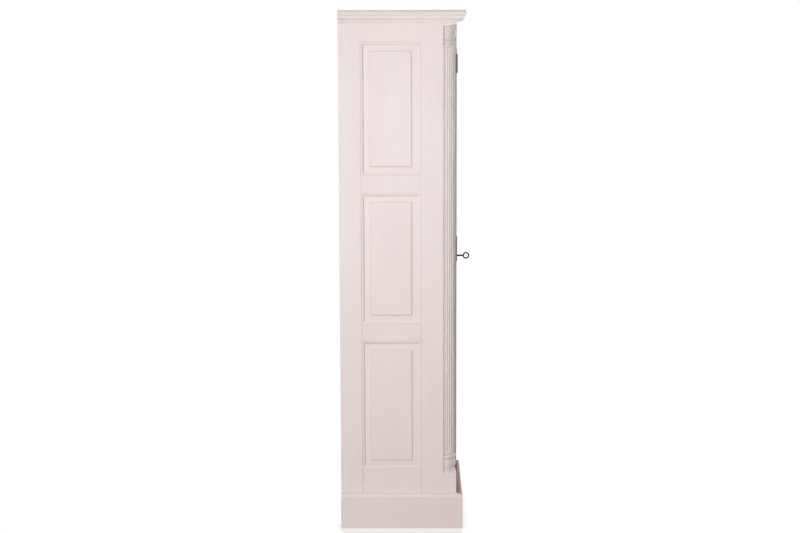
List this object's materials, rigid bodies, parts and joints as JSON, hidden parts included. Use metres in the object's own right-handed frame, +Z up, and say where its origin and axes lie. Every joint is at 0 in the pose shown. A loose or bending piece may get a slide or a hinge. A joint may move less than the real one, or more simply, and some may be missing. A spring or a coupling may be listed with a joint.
{
  "type": "office cupboard",
  "caption": "Tall narrow cupboard of white painted wood with framed raised panels, reeded corner columns, a cornice, a plinth and a lockable hinged door in front of shelves.",
  "frame": {"origin": "on the floor, at the centre of the bounding box in plan, the key included", "axes": "+Z up, the door faces -Y, the hinged side of the door and the pictured side face -X, +X to the right as seen from the front"},
  "size_m": [0.582, 0.5116, 2],
  "materials": {
    "white_paint": "satin off-white paint on solid wood",
    "dark_bronze": "dark bronzed, dull",
    "grey_iron": "dull grey iron",
    "black_iron": "blackened iron",
    "steel": "plain steel",
    "brass": "plain brass"
  },
  "bodies": {
    "carcass": {"back_boards": "white_paint", "bottom_board": "white_paint", "carcass_top": "white_paint", "cornice_front": "white_paint", "cornice_left": "white_paint", "cornice_right": "white_paint", "cornice_top": "white_paint", "frame_screws": "steel", "front_bottom_rail": "white_paint", "front_top_rail": "white_paint", "hinge_pins": "dark_bronze", "left_bottom_rail": "white_paint", "left_column": "white_paint", "left_front_stile": "white_paint", "left_lower_panel": "white_paint", "left_lower_rail": "white_paint", "left_middle_panel": "white_paint", "left_rear_stile": "white_paint", "left_top_rail": "white_paint", "left_upper_panel": "white_paint", "left_upper_rail": "white_paint", "lower_hinge_frame_leaf": "dark_bronze", "plinth_front": "white_paint", "plinth_left": "white_paint", "plinth_right": "white_paint", "rear_bottom_rail": "white_paint", "right_bottom_rail": "white_paint", "right_column": "white_paint", "right_front_stile": "white_paint", "right_lower_panel": "white_paint", "right_lower_rail": "white_paint", "right_middle_panel": "white_paint", "right_rear_stile": "white_paint", "right_top_rail": "white_paint", "right_upper_panel": "white_paint", "right_upper_rail": "white_paint", "shelf_highest": "white_paint", "shelf_lowest": "white_paint", "shelf_pins": "brass", "shelf_second": "white_paint", "shelf_third": "white_paint", "strike_plate": "steel", "upper_hinge_frame_leaf": "dark_bronze"},
    "door": {"door_bottom_rail": "white_paint", "door_closing_strip": "white_paint", "door_hinge_stile": "white_paint", "door_lock_stile": "white_paint", "door_lower_panel": "white_paint", "door_lower_rail": "white_paint", "door_middle_panel": "white_paint", "door_screws": "steel", "door_top_rail": "white_paint", "door_upper_panel": "white_paint", "door_upper_rail": "white_paint", "upper_hinge_door_leaf": "dark_bronze", "lower_hinge_door_leaf": "dark_bronze", "lock_case": "steel", "escutcheon": "grey_iron"},
    "bolt": {"lock_bolt": "steel"},
    "key": {"key": "black_iron"}
  },
  "joints": [
    {"name": "door_swing", "type": "hinge", "parent": "carcass", "child": "door", "pos_m": [-0.2037, -0.19515, 1.0015], "axis": [0, 0, -1], "range_deg": [0, 170]},
    {"name": "key_turn", "type": "hinge", "parent": "door", "child": "key", "pos_m": [0.1805, -0.19515, 1.016], "axis": [0, -1, 0], "range_deg": [0, 90]},
    {"name": "bolt_slide", "type": "slide", "parent": "door", "child": "bolt", "axis": [1, 0, 0], "range_m": [0, 0.01]}
  ],
  "couplings": [
    {"joint": "key_turn", "follows": "bolt_slide", "rad_per_m": 157.07}
  ]
}
